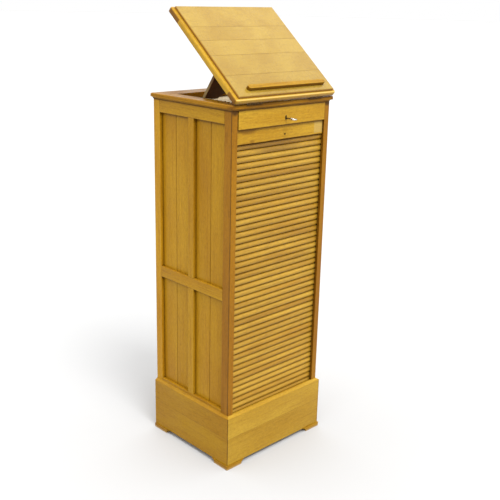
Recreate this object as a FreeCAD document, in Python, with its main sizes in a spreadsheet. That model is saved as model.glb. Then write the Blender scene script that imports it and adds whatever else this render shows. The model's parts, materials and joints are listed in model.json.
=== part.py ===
"""Tambour-front filing cabinet with a hinged reading slope, as a parametric assembly in millimetres.

The cabinet faces -Y, +Z is up, and the origin is on the floor under the middle of the whole object.
Three things move: the tambour slides down in its tracks, the reading slope swings on its front hinges
(its prop folds with it), and the key turns the lock's bolt.
"""

import FreeCAD
import Part
import Sketcher
import math
import os

doc = FreeCAD.newDocument("tambour_cabinet")
sheet = doc.addObject("Spreadsheet::Sheet", "Sheet")

# name, value in millimetres or degrees, meaning
DRIVING_SIZES = [
    ("case_width", 414, "outside width of the case"),
    ("case_depth", 367, "outside depth of the case"),
    ("case_height", 1150, "floor to the underside of the top"),
    ("front_face", -165, "Y of the front face of the case"),
    ("frame_thick", 20, "thickness of the side frames"),
    ("front_stile", 34, "width of the front stiles"),
    ("back_stile", 30, "width of the back stiles"),
    ("muntin", 27, "width of the muntins"),
    ("top_rail", 39.5, "height of the side and back top rails"),
    ("mid_rail", 36.5, "height of the middle rails"),
    ("mid_rail_low", 568, "Z of the underside of the middle rails"),
    ("bottom_rail_top", 196.7, "Z of the top of the bottom rails"),
    ("panel_recess", 11, "frame face to panel face"),
    ("panel_thick", 7, "thickness of the side panels"),
    ("tongue", 6, "how far a panel enters its groove"),
    ("panel_play", 0.15, "clearance round a panel in its groove"),
    ("groove_spare", 0.45, "how much deeper a groove is than the panel's tongue"),
    ("board_joint", 2.4, "width of the V between two panel boards"),
    ("back_thick", 12, "thickness of the back frame"),
    ("back_panel", 6, "thickness of the back panels"),
    ("plinth_thick", 9.5, "how far the plinth stands proud"),
    ("plinth_top", 187.5, "Z of the inner top edge of the plinth"),
    ("plinth_bevel", 6.5, "fall of the plinth's top bevel"),
    ("plinth_joint", 108, "Z of the joint between the plinth's boards"),
    ("foot_tall", 14, "height of the foot blocks"),
    ("foot_proud", 3, "foot block beyond the plinth"),
    ("foot_long", 64, "length of a foot block at the floor"),
    ("foot_cove", 12, "radius of the hollow at a foot block's end"),
    ("foot_deep", 30, "depth of a foot block under the case"),
    ("top_thick", 18, "thickness of the top frame"),
    ("top_proud", 7.6, "overhang at the front and sides"),
    ("top_back_proud", 6, "overhang at the back"),
    ("top_cove", 6.5, "radius of the hollow under the top's edge"),
    ("cove_short", 1, "how much shorter the hollow is than its radius"),
    ("top_nose", 4, "radius of the top's upper edge"),
    ("mitre_deep", 16, "length of the mitre at the top's corners"),
    ("well_half", 168, "half the width of the well"),
    ("well_front", 23.5, "case front to the front of the well"),
    ("well_back", 299.5, "case front to the back of the well"),
    ("well_deep", 20, "top surface to the well floor"),
    ("well_floor", 8, "thickness of the well floor"),
    ("well_wall", 8, "thickness of the well lining"),
    ("well_front_wall", 1, "thickness of the well lining behind the lock rail"),
    ("rack_wide", 8, "width of a rack strip"),
    ("rack_tooth", 6.4, "depth of a notch"),
    ("rack_pitch", 18, "distance between notches"),
    ("rack_flat", 2, "flat on the tip of a tooth"),
    ("rack_plain", 41, "plain length in front of the last notch"),
    ("lock_rail", 55, "height of the rail that holds the lock"),
    ("lock_rail_thick", 22, "thickness of that rail"),
    ("lock_rail_quirk", 3.5, "rebate at the left end of that rail"),
    ("sill_thick", 8.6, "thickness of the sill rail"),
    ("track_front", 9, "case front to the front wall of the track"),
    ("track_wide", 10, "width of the track"),
    ("track_deep", 6, "depth of the track in the side frames"),
    ("sill_drop", 3, "top of the sill rail below the cupboard floor"),
    ("track_low", 24, "Z of the lowest point of the track"),
    ("track_bend", 40, "inner radius of the track's bends"),
    ("track_back", 13, "case back to the rear wall of the track"),
    ("track_back_top", 700, "Z of the top of the rear track"),
    ("curtain_play", 0.6, "clearance between the curtain and its track"),
    ("lead_rail", 44.5, "height of the curtain's lead rail"),
    ("lead_gap", 0.5, "gap between lead rail and lock rail"),
    ("slat_pitch", 19.05, "pitch of the curtain's slats"),
    ("slat_gap", 0.25, "gap between two slats"),
    ("slat_thick", 8, "thickness of a slat"),
    ("curtain_end", 150, "lowest Z that the closed curtain may reach"),
    ("lead_proud", 3.5, "lead rail's face in front of the slats"),
    ("lead_clear", 1.5, "lead rail's face board to the posts"),
    ("peg_aside", 4, "lock to the peg hole in the lead rail"),
    ("peg_up", 15, "lead rail's lower edge to the peg hole"),
    ("peg_r", 1.5, "radius of the peg hole"),
    ("peg_deep", 2, "depth of the peg hole behind the slats' crests"),
    ("canvas", 0.8, "thickness of the canvas backing"),
    ("floor_thick", 12, "thickness of the cupboard floor"),
    ("floor_front", 30, "case front to the front of the cupboard floor"),
    ("false_back", 6, "thickness of the false back"),
    ("false_back_gap", 28, "case back to the false back"),
    ("shelf_thick", 9, "thickness of a shelf"),
    ("shelf_count", 4, "number of shelves"),
    ("shelf_set_back", 2, "front stile to the front of a shelf"),
    ("cleat_set_back", 2, "shelf's front to the front of its cleats"),
    ("cleat", 10, "width of a shelf cleat"),
    ("cleat_tall", 14, "height of a shelf cleat"),
    ("fit_gap", 0.2, "clearance at the edges of loose boards"),
    ("lock_x", 11, "X of the lock"),
    ("key_drop", 36, "underside of the top to the key's axis"),
    ("lock_half", 25, "half the width of the lock case"),
    ("lock_tall", 36, "height of the lock case"),
    ("lock_deep", 11, "depth of the lock case"),
    ("bolt_half", 7, "half the width of the bolt"),
    ("bolt_thick", 3, "thickness of the bolt"),
    ("bolt_tall", 27, "length of the bolt"),
    ("bolt_throw", 9, "travel of the bolt"),
    ("bolt_play", 0.3, "clearance round the bolt"),
    ("mortise_spare", 2, "depth of the bolt's mortise beyond the bolt"),
    ("lock_cap", 1, "thickness of the lock case behind the key's bit"),
    ("key_r", 2.2, "radius of the key's shank"),
    ("key_out", 24, "case front to the key's bow"),
    ("key_short", 2, "back of the lock case to the key's tip"),
    ("collar_wide", 1.2, "how far the key's collar stands round its shank"),
    ("collar_long", 3, "length of the key's collar"),
    ("bit_half", 1, "half the thickness of the key's bit"),
    ("bit_short", 1, "how much shorter the key's bit is than its way in the lock"),
    ("bit_play", 0.5, "clearance before and behind the key's bit"),
    ("bow_r", 8, "radius of the key's bow, to its middle line"),
    ("bow_wire", 2, "radius of the bow's wire"),
    ("hole_r", 2.6, "half the width of the keyhole"),
    ("hole_up", 8, "key's axis to the top of the keyhole"),
    ("hole_down", 5, "key's axis to the bottom of the keyhole"),
    ("eyelet_wall", 0.9, "thickness of the keyhole's metal lining"),
    ("eyelet_out", 0.3, "how far the keyhole's lining stands proud"),
    ("eyelet_deep", 3, "depth of the keyhole's lining"),
    ("slope_angle", 40, "angle of the raised slope"),
    ("slope_width", 426, "width of the slope"),
    ("slope_long", 385, "length of the slope"),
    ("slope_thick", 16.8, "thickness of the slope's frame"),
    ("slope_front_rail", 40, "width of the slope's front rail"),
    ("slope_back_rail", 57, "width of the slope's back rail"),
    ("slope_stile", 50, "width of the slope's side stiles"),
    ("slope_corner", 8, "radius of the slope's corners"),
    ("slope_round", 6, "radius of the slope frame's upper edges"),
    ("slope_under", 1.5, "radius of the slope frame's lower edges"),
    ("board_thick", 7.5, "thickness of the raised boards"),
    ("board_in", 8, "set-in of the raised boards, front and back"),
    ("board_in_side", 12, "set-in of the raised boards at the sides"),
    ("board_round", 3, "radius of the raised boards' edges"),
    ("board_gap", 0.2, "gap between two raised boards"),
    ("board_1", 0.222, "first board joint, as a share of the raised face"),
    ("board_2", 0.438, "second board joint"),
    ("board_3", 0.604, "third board joint"),
    ("board_4", 0.758, "fourth board joint"),
    ("ledge_x", 8, "X of the middle of the book ledge"),
    ("ledge_long", 326, "length of the book ledge"),
    ("ledge_near", 27, "slope edge to the book ledge"),
    ("ledge_wide", 15, "width of the book ledge"),
    ("ledge_tall", 11, "height of the book ledge"),
    ("pin_ahead", 2.8, "hinge axis in front of the top's edge"),
    ("pin_above", 0.6, "hinge axis above the top"),
    ("pin_r", 1.2, "radius of the hinge pins"),
    ("pin_play", 0.05, "radial clearance of the hinge pins"),
    ("pin_room", 5, "hinge axis to the front of the cuts made for the hinges"),
    ("knuckle_r", 2.4, "radius of the hinge knuckles"),
    ("knuckle_sunk", 0.3, "how far the prop's knuckles overlap their leaves' plane"),
    ("leaf", 1.3, "thickness of the hinge leaves"),
    ("leaf_wide", 22, "width of a hinge leaf from its axis"),
    ("leaf_gap", 0.1, "leaf to the plane through the hinge axis"),
    ("knuckle_gap", 0.3, "clearance beside a knuckle"),
    ("hinge_x", 130, "X of the middle of a slope hinge"),
    ("hinge_half", 30, "half the length of a slope hinge"),
    ("prop_angle", 95, "angle between the slope and its prop"),
    ("prop_pin_at", 160.24, "slope hinge axis to prop hinge axis, along the slope"),
    ("foot_gap", 0.4, "clearance under the prop's feet in their notches"),
    ("prop_thick", 10, "thickness of the prop"),
    ("prop_half", 166.5, "half the width of the prop at its feet"),
    ("prop_neck", 157, "half the width of the prop at its hinges"),
    ("prop_start", 4, "prop hinge axis to the prop's top edge"),
    ("prop_neck_long", 22, "length of the prop's narrow part"),
    ("prop_shoulder", 10, "length of the prop's sloping shoulder"),
    ("prop_foot", 52, "width of each foot of the prop"),
    ("prop_arch", 20, "rise of the straight part of the arch"),
    ("prop_arch_r", 240, "radius of the arch"),
    ("prop_leaf", 1.4, "thickness of the prop's hinge leaves"),
    ("prop_hinge_x", 90, "X of the middle of a prop hinge"),
    ("prop_hinge_half", 25, "half the length of a prop hinge"),
    ("foot_ahead", 0.5, "rack's end behind the prop's resting line"),
]

OVER = 1  # how far a cutting tool runs past the face that it cuts
NEAR = 1e-3  # two places closer than this are the same
SLIVER = 0.05  # flat left between two fillets that would otherwise meet
ARC_SPARE = 0.01  # keeps a half-round end's radius above half its width


class Size:
    """A number from the sheet, or a sum of such numbers, with the expression that keeps it live."""

    def __init__(self, value, text):
        self.value = value
        self.text = text

    def _join(self, sign, other, value):
        other_text = other.text if isinstance(other, Size) else repr(other)
        return Size(value, "(%s %s %s)" % (self.text, sign, other_text))

    def __add__(self, other):
        return self._join("+", other, self.value + number(other))

    def __sub__(self, other):
        return self._join("-", other, self.value - number(other))

    def __mul__(self, other):
        return self._join("*", other, self.value * number(other))

    def __truediv__(self, other):
        return self._join("/", other, self.value / number(other))

    def __neg__(self):
        return Size(-self.value, "(0 - %s)" % self.text)

    def floor(self):
        return Size(math.floor(self.value), "floor(%s)" % self.text)

    def cos(self):
        return Size(math.cos(math.radians(self.value)), "cos(%s)" % self.text)

    def sin(self):
        return Size(math.sin(math.radians(self.value)), "sin(%s)" % self.text)


def number(size):
    return size.value if isinstance(size, Size) else float(size)


def as_size(size):
    return size if isinstance(size, Size) else Size(float(size), repr(float(size)))


class Sizes:
    """The driving dimensions by name."""


d = Sizes()
for row, (name, value, meaning) in enumerate(DRIVING_SIZES, start=1):
    sheet.set("A%d" % row, name)
    sheet.set("B%d" % row, str(value))
    sheet.setAlias("B%d" % row, name)
    sheet.set("C%d" % row, meaning)
    setattr(d, name, Size(value, "Sheet." + name))
doc.recompute()


# ---------------------------------------------------------------- helpers

nodes = []


def keep(label, obj):
    """Name a finished sub-part; its label is its node and file name."""
    obj.Label = label
    nodes.append(obj)
    return obj


def bind(obj, prop, size):
    obj.setExpression(prop, as_size(size).text)


def ordered(ends):
    low, high = as_size(ends[0]), as_size(ends[1])
    return (low, high) if low.value <= high.value else (high, low)


def box(x, y, z):
    """A box between two values on each axis, given in either order."""
    obj = doc.addObject("Part::Box", "Box")
    for axis, side, ends in (("x", "Length", x), ("y", "Width", y), ("z", "Height", z)):
        low, high = ordered(ends)
        bind(obj, side, high - low)
        bind(obj, "Placement.Base." + axis, low)
    return obj


def rod(axis, centre, radius, ends):
    """A cylinder along an axis; centre gives its place on the other two axes, in X, Y, Z order."""
    obj = doc.addObject("Part::Cylinder", "Rod")
    low, high = ordered(ends)
    bind(obj, "Radius", radius)
    bind(obj, "Height", high - low)
    turns = {"x": ((0, 1, 0), 90), "y": ((1, 0, 0), -90), "z": ((0, 0, 1), 0)}
    across = {"x": "yz", "y": "xz", "z": "xy"}
    direction, angle = turns[axis]
    obj.Placement = FreeCAD.Placement(FreeCAD.Vector(), FreeCAD.Rotation(FreeCAD.Vector(*direction), angle))
    for other, place in zip(across[axis], centre):
        bind(obj, "Placement.Base." + other, place)
    bind(obj, "Placement.Base." + axis, low)
    return obj


def cut(base, *tools):
    obj = doc.addObject("Part::Cut", "Cut")
    obj.Base = base
    obj.Tool = tools[0] if len(tools) == 1 else group(*tools)
    return obj


def fuse(*parts):
    obj = doc.addObject("Part::MultiFuse", "Fuse")
    obj.Shapes = list(parts)
    return obj


def common(base, tool):
    obj = doc.addObject("Part::Common", "Common")
    obj.Base = base
    obj.Tool = tool
    return obj


def group(*parts):
    """Several separate solids in one object."""
    obj = doc.addObject("Part::Compound", "Group")
    obj.Links = list(parts)
    return obj


def rounded(base, radius, chosen):
    """Fillet the edges whose middle point passes the test."""
    doc.recompute()
    fillet = doc.addObject("Part::Fillet", "Fillet")
    fillet.Base = base
    fillet.Edges = [
        (index, number(radius), number(radius))
        for index, edge in enumerate(base.Shape.Edges, start=1)
        if chosen(edge.CenterOfMass, edge)
    ]
    return fillet


def origin_plane(body, role):
    return [feature for feature in body.Origin.OriginFeatures if feature.Role == role][0]


def arc_middle(start, end, radius):
    """A point on the short arc; a positive radius bulges to the right of the way from start to end."""
    along = end - start
    half = along.Length / 2
    rise = abs(radius) - math.sqrt(max(radius * radius - half * half, 0))
    right = FreeCAD.Vector(along.y, -along.x, 0).normalize()
    return (start + end) * 0.5 + right * math.copysign(rise, radius)


def draw_outline(sketch, outline):
    """Close a loop through points (u, v), or (u, v, radius) where an arc leads to the next point."""
    corners = [FreeCAD.Vector(number(point[0]), number(point[1]), 0) for point in outline]
    ends = []
    for index, point in enumerate(outline):
        start, end = corners[index], corners[(index + 1) % len(corners)]
        if len(point) == 3:
            geometry = sketch.addGeometry(Part.Arc(start, arc_middle(start, end, number(point[2])), end))
            first = 1 if sketch.getPoint(geometry, 1).distanceToPoint(start) < NEAR else 2
        else:
            geometry = sketch.addGeometry(Part.LineSegment(start, end))
            first = 1
        ends.append((geometry, first, 3 - first))
    for index, point in enumerate(outline):
        geometry, first, last = ends[index]
        following, following_first = ends[(index + 1) % len(ends)][:2]
        sketch.addConstraint(Sketcher.Constraint("Coincident", geometry, last, following, following_first))
        for kind, size in (("DistanceX", point[0]), ("DistanceY", point[1])):
            place = sketch.addConstraint(Sketcher.Constraint(kind, -1, 1, geometry, first, number(size)))
            sketch.setExpression("Constraints[%d]" % place, as_size(size).text)
        if len(point) == 3:
            radius = as_size(point[2])
            radius = radius if radius.value > 0 else -radius
            place = sketch.addConstraint(Sketcher.Constraint("Radius", geometry, radius.value))
            sketch.setExpression("Constraints[%d]" % place, radius.text)


def prism(role, outline, ends):
    """Pad an outline between two values along the axis that its origin plane faces."""
    body = doc.addObject("PartDesign::Body", "Body")
    sketch = body.newObject("Sketcher::SketchObject", "Outline")
    sketch.AttachmentSupport = [(origin_plane(body, role), "")]
    sketch.MapMode = "FlatFace"
    low, high = ordered(ends)
    bind(sketch, "AttachmentOffset.Base.z", -high if role == "XZ_Plane" else low)
    draw_outline(sketch, outline)
    pad = body.newObject("PartDesign::Pad", "Pad")
    pad.Profile = sketch
    bind(pad, "Length", high - low)
    body.Tip = pad
    return body


def turned_about_x(obj, pin, angle):
    """Swing an object that was modelled in place about an X axis through pin (y, z)."""
    turn = FreeCAD.Rotation(FreeCAD.Vector(1, 0, 0), number(angle))
    obj.Placement = FreeCAD.Placement(FreeCAD.Vector(), turn)
    pin_y, pin_z = pin
    bind(obj, "Placement.Base.y", pin_y - pin_y * angle.cos() + pin_z * angle.sin())
    bind(obj, "Placement.Base.z", pin_z - pin_y * angle.sin() - pin_z * angle.cos())
    bind(obj, "Placement.Rotation.Angle", angle)
    return obj


# ---------------------------------------------------------------- places worked out from the sizes

side = d.case_width / 2
inner = side - d.frame_thick
front = d.front_face
back = front + d.case_depth
case_top = d.case_height
top_surface = case_top + d.top_thick
base = d.foot_tall
front_stile_back = front + d.front_stile
back_stile_front = back - d.back_stile
top_rail_low = case_top - d.top_rail
mid_rail_top = d.mid_rail_low + d.mid_rail
muntin_front = (front_stile_back + back_stile_front - d.muntin) / 2
muntin_back = muntin_front + d.muntin
well_front = front + d.well_front
well_back = front + d.well_back
well_bottom = top_surface - d.well_deep
lock_rail_low = case_top - d.lock_rail
track_front = front + d.track_front
track_rear = back - d.track_back
curtain_front = track_front + d.curtain_play
slat_back = curtain_front + d.slat_thick
curtain_back = slat_back + d.canvas
lead_top = lock_rail_low - d.lead_gap
lead_low = lead_top - d.lead_rail
curtain_half = inner + d.track_deep - d.curtain_play
slat_count = ((lead_low - d.curtain_end) / d.slat_pitch).floor()
curtain_low = lead_low - d.slat_pitch * slat_count
false_back_face = back - d.false_back_gap - d.false_back
floor_top = d.plinth_top
key_z = case_top - d.key_drop


def side_frames():
    """Frame-and-panel sides: stiles, rails and muntins grooved for four boarded panels each."""
    bays = {
        "upper": (mid_rail_top, top_rail_low),
        "lower": (d.bottom_rail_top, d.mid_rail_low),
    }
    columns = ((front_stile_back, muntin_front), (muntin_back, back_stile_front))
    for name, sign in (("left", -1), ("right", 1)):
        outer_x, inner_x = side * sign, inner * sign
        panel_x = ((side - d.panel_recess) * sign, (side - d.panel_recess - d.panel_thick) * sign)
        groove_x = (
            (side - d.panel_recess + d.panel_play) * sign,
            (side - d.panel_recess - d.panel_thick - d.panel_play) * sign,
        )
        reach = d.tongue + d.groove_spare
        spaces = []
        for low, high in bays.values():
            for near, far in columns:
                spaces.append(box(groove_x, (near - reach, far + reach), (low - reach, high + reach)))
        panel_space = group(*spaces)
        frame_x = (outer_x, inner_x)
        between = (front_stile_back, back_stile_front)
        track = track_tool(sign)

        keep(name + "_front_stile", cut(box(frame_x, (front, front_stile_back), (base, case_top)),
                                        panel_space, track))
        keep(name + "_back_stile", cut(box(frame_x, (back_stile_front, back), (base, case_top)),
                                       panel_space, track))
        keep(name + "_top_rail", cut(box(frame_x, between, (top_rail_low, case_top)), panel_space))
        keep(name + "_mid_rail", cut(box(frame_x, between, (d.mid_rail_low, mid_rail_top)), panel_space))
        keep(name + "_bottom_rail", cut(box(frame_x, between, (base, d.bottom_rail_top)),
                                        panel_space, track))
        keep(name + "_muntins", group(*[
            cut(box(frame_x, (muntin_front, muntin_back), bay), panel_space) for bay in bays.values()
        ]))
        for bay, (low, high) in bays.items():
            panels = []
            for near, far in columns:
                panel = box(panel_x, (near - d.tongue, far + d.tongue), (low - d.tongue, high + d.tongue))
                joint_y = (near + far) / 2
                notch = prism("XY_Plane", [
                    (panel_x[0] + OVER * sign, joint_y - d.board_joint / 2 - OVER),
                    (panel_x[0] + OVER * sign, joint_y + d.board_joint / 2 + OVER),
                    (panel_x[0] - d.board_joint / 2 * sign, joint_y),
                ], (low - d.tongue - OVER, high + d.tongue + OVER))
                panels.append(cut(panel, notch))
            keep("%s_%s_panels" % (name, bay), group(*panels))


def track_tool(sign):
    """The curtain's groove: down the front, round under the cupboard floor and up the back."""
    outer_r = d.track_bend + d.track_wide
    low, high = d.track_low, d.track_low + d.track_wide
    front_out, front_in = track_front, track_front + d.track_wide
    rear_out, rear_in = track_rear, track_rear - d.track_wide
    outline = [
        (front_out, lock_rail_low + OVER),
        (front_out, low + outer_r, outer_r),
        (front_out + outer_r, low),
        (rear_out - outer_r, low, outer_r),
        (rear_out, low + outer_r),
        (rear_out, d.track_back_top),
        (rear_in, d.track_back_top),
        (rear_in, high + d.track_bend, -d.track_bend),
        (rear_in - d.track_bend, high),
        (front_in + d.track_bend, high, -d.track_bend),
        (front_in, high + d.track_bend),
        (front_in, lock_rail_low + OVER),
    ]
    return prism("YZ_Plane", outline, ((inner - OVER) * sign, (inner + d.track_deep) * sign))


def front_rails():
    """The rail that holds the lock, with its mortises, and the sill rail behind the plinth."""
    rail = box((-inner, inner), (front, front + d.lock_rail_thick), (lock_rail_low, case_top))
    case_space = box((d.lock_x - d.lock_half, d.lock_x + d.lock_half),
                     (front + d.lock_rail_thick - d.lock_deep, front + d.lock_rail_thick + OVER),
                     (lock_rail_low - OVER, lock_rail_low + d.lock_tall))
    lining = keyhole(d.eyelet_wall, (front - OVER, front + d.eyelet_deep))
    bore = keyhole(0, (front - OVER, front + d.lock_rail_thick))
    quirk = box((-inner - OVER, -inner + d.lock_rail_quirk), (front - OVER, front + d.lock_rail_thick / 2),
                (lock_rail_low - OVER, case_top + OVER))
    keep("lock_rail", cut(rail, fuse(case_space, lining, bore), quirk))
    keep("sill_rail", box((-inner, inner), (front, front + d.sill_thick),
                          (base, d.plinth_top - d.sill_drop)))


def keyhole(wall, ends):
    """An upright slot with round ends about the key's axis, wider all round by wall."""
    radius = d.hole_r + wall
    high, low = key_z + d.hole_up - d.hole_r, key_z - d.hole_down + d.hole_r
    return fuse(
        rod("y", (d.lock_x, high), radius, ends),
        rod("y", (d.lock_x, low), radius, ends),
        box((d.lock_x - radius, d.lock_x + radius), ends, (low, high)),
    )


def back_frame():
    """The back: three rails between the back stiles, grooved for two plain panels."""
    rails_y = (back - d.back_thick, back)
    middle = back - d.back_thick / 2
    bays = ((d.bottom_rail_top, d.mid_rail_low), (mid_rail_top, top_rail_low))
    reach = d.tongue + d.groove_spare
    groove_half = d.back_panel / 2 + d.panel_play
    panel_space = group(*[
        box((-inner, inner), (middle - groove_half, middle + groove_half), (low - reach, high + reach))
        for low, high in bays
    ])
    levels = ((base, d.bottom_rail_top), (d.mid_rail_low, mid_rail_top), (top_rail_low, case_top))
    keep("back_rails", group(*[cut(box((-inner, inner), rails_y, level), panel_space) for level in levels]))
    keep("back_panels", group(*[
        box((-inner + d.fit_gap, inner - d.fit_gap), (middle - d.back_panel / 2, middle + d.back_panel / 2),
            (low - d.tongue, high + d.tongue))
        for low, high in bays
    ]))


def plinth():
    """Two boards high on the front and sides, bevelled on top and mitred at the front corners."""
    out_x, out_y = side + d.plinth_thick, front - d.plinth_thick
    bevel_z = d.plinth_top - d.plinth_bevel
    plans = {
        "front": [(-out_x, out_y), (out_x, out_y), (side, front), (-side, front)],
        "left": [(-out_x, out_y), (-side, front), (-side, back), (-out_x, back)],
        "right": [(out_x, out_y), (out_x, back), (side, back), (side, front)],
    }
    for name, plan in plans.items():
        if name == "front":
            role, face, outer, ends = "YZ_Plane", front, out_y, (-out_x, out_x)
        else:
            sign = -1 if name == "left" else 1
            role, face, outer, ends = "XZ_Plane", side * sign, out_x * sign, (out_y, back)
        sections = (
            [(outer, base), (face, base), (face, d.plinth_joint), (outer, d.plinth_joint)],
            [(outer, d.plinth_joint), (face, d.plinth_joint), (face, d.plinth_top), (outer, bevel_z)],
        )
        boards = [
            common(prism(role, section, ends), prism("XY_Plane", plan, (base - OVER, d.plinth_top + OVER)))
            for section in sections
        ]
        keep("plinth_" + name, group(*boards))


def foot_blocks():
    """A low block under each corner, wrapping round it at the front, with a hollowed end."""
    out_x = side + d.plinth_thick + d.foot_proud
    out_y = front - d.plinth_thick - d.foot_proud
    blocks = []
    for sign in (-1, 1):
        along_x = prism("XZ_Plane", [
            (out_x * sign, 0),
            ((out_x - d.foot_long) * sign, 0, d.foot_cove * sign),
            ((out_x - d.foot_long - d.foot_cove) * sign, base),
            (out_x * sign, base),
        ], (out_y, out_y + d.foot_deep))
        blocks.append(fuse(along_x, side_leg(sign, out_x, out_y, 1)))
        blocks.append(side_leg(sign, out_x, back, -1))
    keep("foot_blocks", group(*blocks))


def side_leg(sign, out_x, end, way):
    """The part of a foot block that runs along the side from one end, forwards or backwards."""
    return prism("YZ_Plane", [
        (end, 0),
        (end + d.foot_long * way, 0, -d.foot_cove * way),
        (end + (d.foot_long + d.foot_cove) * way, base),
        (end, base),
    ], (out_x * sign, (out_x - d.foot_deep) * sign))


def edge_section(inside, case_face, way):
    """Cross-section of a top board: hollow below, nose above, overhanging the case face."""
    proud = d.top_back_proud if way > 0 and case_face is back else d.top_proud
    edge = case_face + proud * way
    hollow = case_face + (d.top_cove - d.cove_short) * way
    return edge, [
        (inside, case_top),
        (case_face, case_top, -d.top_cove * way),
        (hollow, case_top + d.top_cove),
        (edge, case_top + d.top_cove),
        (edge, top_surface - d.top_nose, d.top_nose * way),
        (edge - d.top_nose * way, top_surface),
        (inside, top_surface),
    ]


def top_frame():
    """Four moulded boards round the well: mitred at the outer corners, butted inside."""
    front_edge, front_section = edge_section(well_front, front, -1)
    back_edge, back_section = edge_section(well_back, back, 1)
    edge_x = side + d.top_proud
    deep = d.mitre_deep
    levels = (case_top - OVER, top_surface + OVER)

    front_plan = [
        (-edge_x, front_edge), (edge_x, front_edge), (edge_x - deep, front_edge + deep),
        (edge_x - deep, well_front), (-edge_x + deep, well_front), (-edge_x + deep, front_edge + deep),
    ]
    front_board = common(prism("YZ_Plane", front_section, (-edge_x, edge_x)),
                         prism("XY_Plane", front_plan, levels))
    keep("top_front", cut(front_board, *[hinge_recess(sign) for sign in (-1, 1)]))

    back_plan = [
        (-edge_x, back_edge), (edge_x, back_edge), (edge_x - deep, back_edge - deep),
        (edge_x - deep, well_back), (-edge_x + deep, well_back), (-edge_x + deep, back_edge - deep),
    ]
    keep("top_back", common(prism("YZ_Plane", back_section, (-edge_x, edge_x)),
                            prism("XY_Plane", back_plan, levels)))

    for name, sign in (("left", -1), ("right", 1)):
        section = edge_section(d.well_half * sign, side * sign, sign)[1]
        plan = [
            (edge_x * sign, front_edge), ((edge_x - deep) * sign, front_edge + deep),
            ((edge_x - deep) * sign, well_front), (d.well_half * sign, well_front),
            (d.well_half * sign, well_back), ((edge_x - deep) * sign, well_back),
            ((edge_x - deep) * sign, back_edge - deep), (edge_x * sign, back_edge),
        ]
        keep("top_" + name, common(prism("XZ_Plane", section, (front_edge, back_edge)),
                                   prism("XY_Plane", plan, levels)))


def hinge_recess(sign):
    """The shallow bed of a fixed hinge leaf in the top's front board."""
    return box(hinge_span(sign, d.fit_gap), (pin_y - d.pin_room, pin_y + d.leaf_wide + d.fit_gap),
               (pin_z - d.leaf_gap - d.leaf, top_surface + OVER))


def well():
    """The shallow well in the top: floor, lining and the two notched racks that hold the prop's feet."""
    floor_y = (front + d.lock_rail_thick + d.fit_gap, back - d.back_thick - d.fit_gap)
    keep("well_floor", box((-inner + d.fit_gap, inner - d.fit_gap), floor_y,
                           (well_bottom - d.well_floor, well_bottom)))
    level = (well_bottom, case_top)
    outer_half = d.well_half + d.well_wall
    walls = [
        box((-outer_half, outer_half), (well_back, well_back + d.well_wall), level),
        box((-outer_half, outer_half), (well_front - d.well_front_wall, well_front), level),
    ]
    for sign in (-1, 1):
        walls.append(box((d.well_half * sign, outer_half * sign), (well_front, well_back), level))
    keep("well_lining", group(*walls))
    for name, sign in (("left", -1), ("right", 1)):
        rack_x = (d.well_half * sign, (d.well_half - d.rack_wide) * sign)
        keep("rack_" + name, prism("YZ_Plane", rack_outline(), rack_x))


def rack_outline():
    """Side view of a rack: the rear notch that is in use, a plain length, then a row of spare notches."""
    rack_end = foot_y + d.foot_ahead
    notch_floor = top_surface - d.rack_tooth
    outline = [
        (rack_end, well_bottom),
        (rack_end, notch_floor),
        (rack_end - d.rack_tooth, notch_floor),
        (rack_end - d.rack_tooth * 2, top_surface),
    ]
    tip = rack_end - d.rack_plain
    spare = int((tip.value - well_front.value) / d.rack_pitch.value)
    for tooth in range(spare):
        rear = tip - d.rack_pitch * tooth
        outline += [
            (rear, top_surface),
            (rear, notch_floor),
            (rear - d.rack_pitch + d.rack_flat, top_surface),
        ]
    outline += [(well_front, top_surface), (well_front, well_bottom)]
    return outline


def cupboard():
    """Inside: floor, false back, fixed shelves and the cleats that carry them."""
    across = (-inner + d.fit_gap, inner - d.fit_gap)
    ceiling = well_bottom - d.well_floor
    keep("cupboard_floor", box(across, (front + d.floor_front, false_back_face),
                               (floor_top - d.floor_thick, floor_top)))
    keep("false_back", box(across, (false_back_face, false_back_face + d.false_back),
                           (floor_top - d.floor_thick, ceiling)))
    step = (ceiling - floor_top) / (d.shelf_count + 1)
    shelf_front = front_stile_back + d.shelf_set_back
    cleats = []
    for index in range(1, int(d.shelf_count.value) + 1):
        shelf_top = floor_top + step * index
        shelf_low = shelf_top - d.shelf_thick
        keep("shelf_%d" % index, box(across, (shelf_front, false_back_face), (shelf_low, shelf_top)))
        for sign in (-1, 1):
            cleats.append(box((inner * sign, (inner - d.cleat) * sign),
                              (shelf_front + d.cleat_set_back, false_back_face),
                              (shelf_low - d.cleat_tall, shelf_low)))
    keep("shelf_cleats", group(*cleats))


# ---------------------------------------------------------------- lock and curtain

bolt_front = curtain_front + (d.slat_thick + d.canvas - d.bolt_thick) / 2
bolt_back = bolt_front + d.bolt_thick
bolt_low = lead_top + d.lead_gap


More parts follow.
